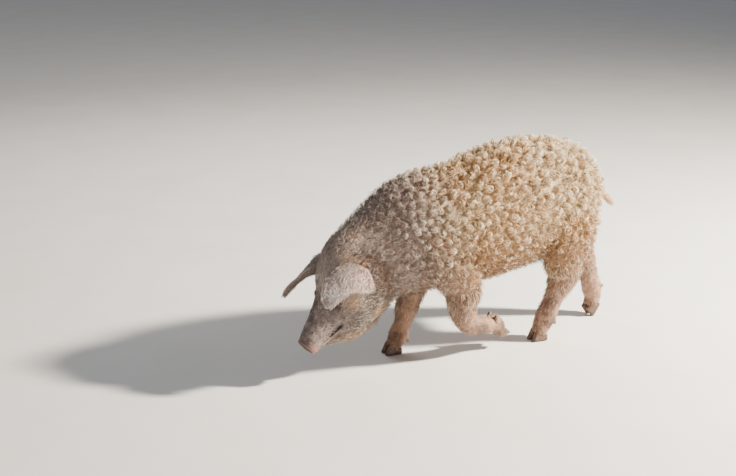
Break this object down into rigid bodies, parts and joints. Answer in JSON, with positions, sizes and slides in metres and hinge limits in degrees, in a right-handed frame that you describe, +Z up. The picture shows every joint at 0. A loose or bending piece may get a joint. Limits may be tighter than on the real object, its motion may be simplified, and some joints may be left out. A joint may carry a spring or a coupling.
{
  "type": "mangalica pig",
  "caption": "Life-size still model of a young curly-coated mangalica pig, walking with its head low to the ground.",
  "frame": {"origin": "the floor under the middle of the whole pig's box", "axes": "+X from the snout to the tail, +Y to the pig's right, +Z up"},
  "size_m": [1.2708, 0.3606, 0.7087],
  "materials": {
    "coat": "curly cream wool, matt",
    "skin": "greyish pink skin under short pale bristles",
    "eye": "wet dark brown",
    "claw": "worn brown horn"
  },
  "bodies": {
    "root": {"claw_front_left_inner": "claw", "claw_front_left_outer": "claw", "claw_front_right_inner": "claw", "claw_front_right_outer": "claw", "claw_hind_left_inner": "claw", "claw_hind_left_outer": "claw", "claw_hind_right_inner": "claw", "claw_hind_right_outer": "claw", "dewclaw_front_left_inner": "claw", "dewclaw_front_left_outer": "claw", "dewclaw_front_right_inner": "claw", "dewclaw_front_right_outer": "claw", "dewclaw_hind_left_inner": "claw", "dewclaw_hind_left_outer": "claw", "dewclaw_hind_right_inner": "claw", "dewclaw_hind_right_outer": "claw", "ear_left": "skin", "ear_right": "skin", "eye_left": "eye", "eye_right": "eye", "head": "skin", "leg_front_left": "coat", "leg_front_right": "coat", "leg_hind_left": "coat", "leg_hind_right": "coat", "neck": "coat", "shank_front_left": "skin", "shank_front_right": "skin", "shank_hind_left": "skin", "shank_hind_right": "skin", "tail": "skin", "torso": "coat"}
  },
  "joints": []
}
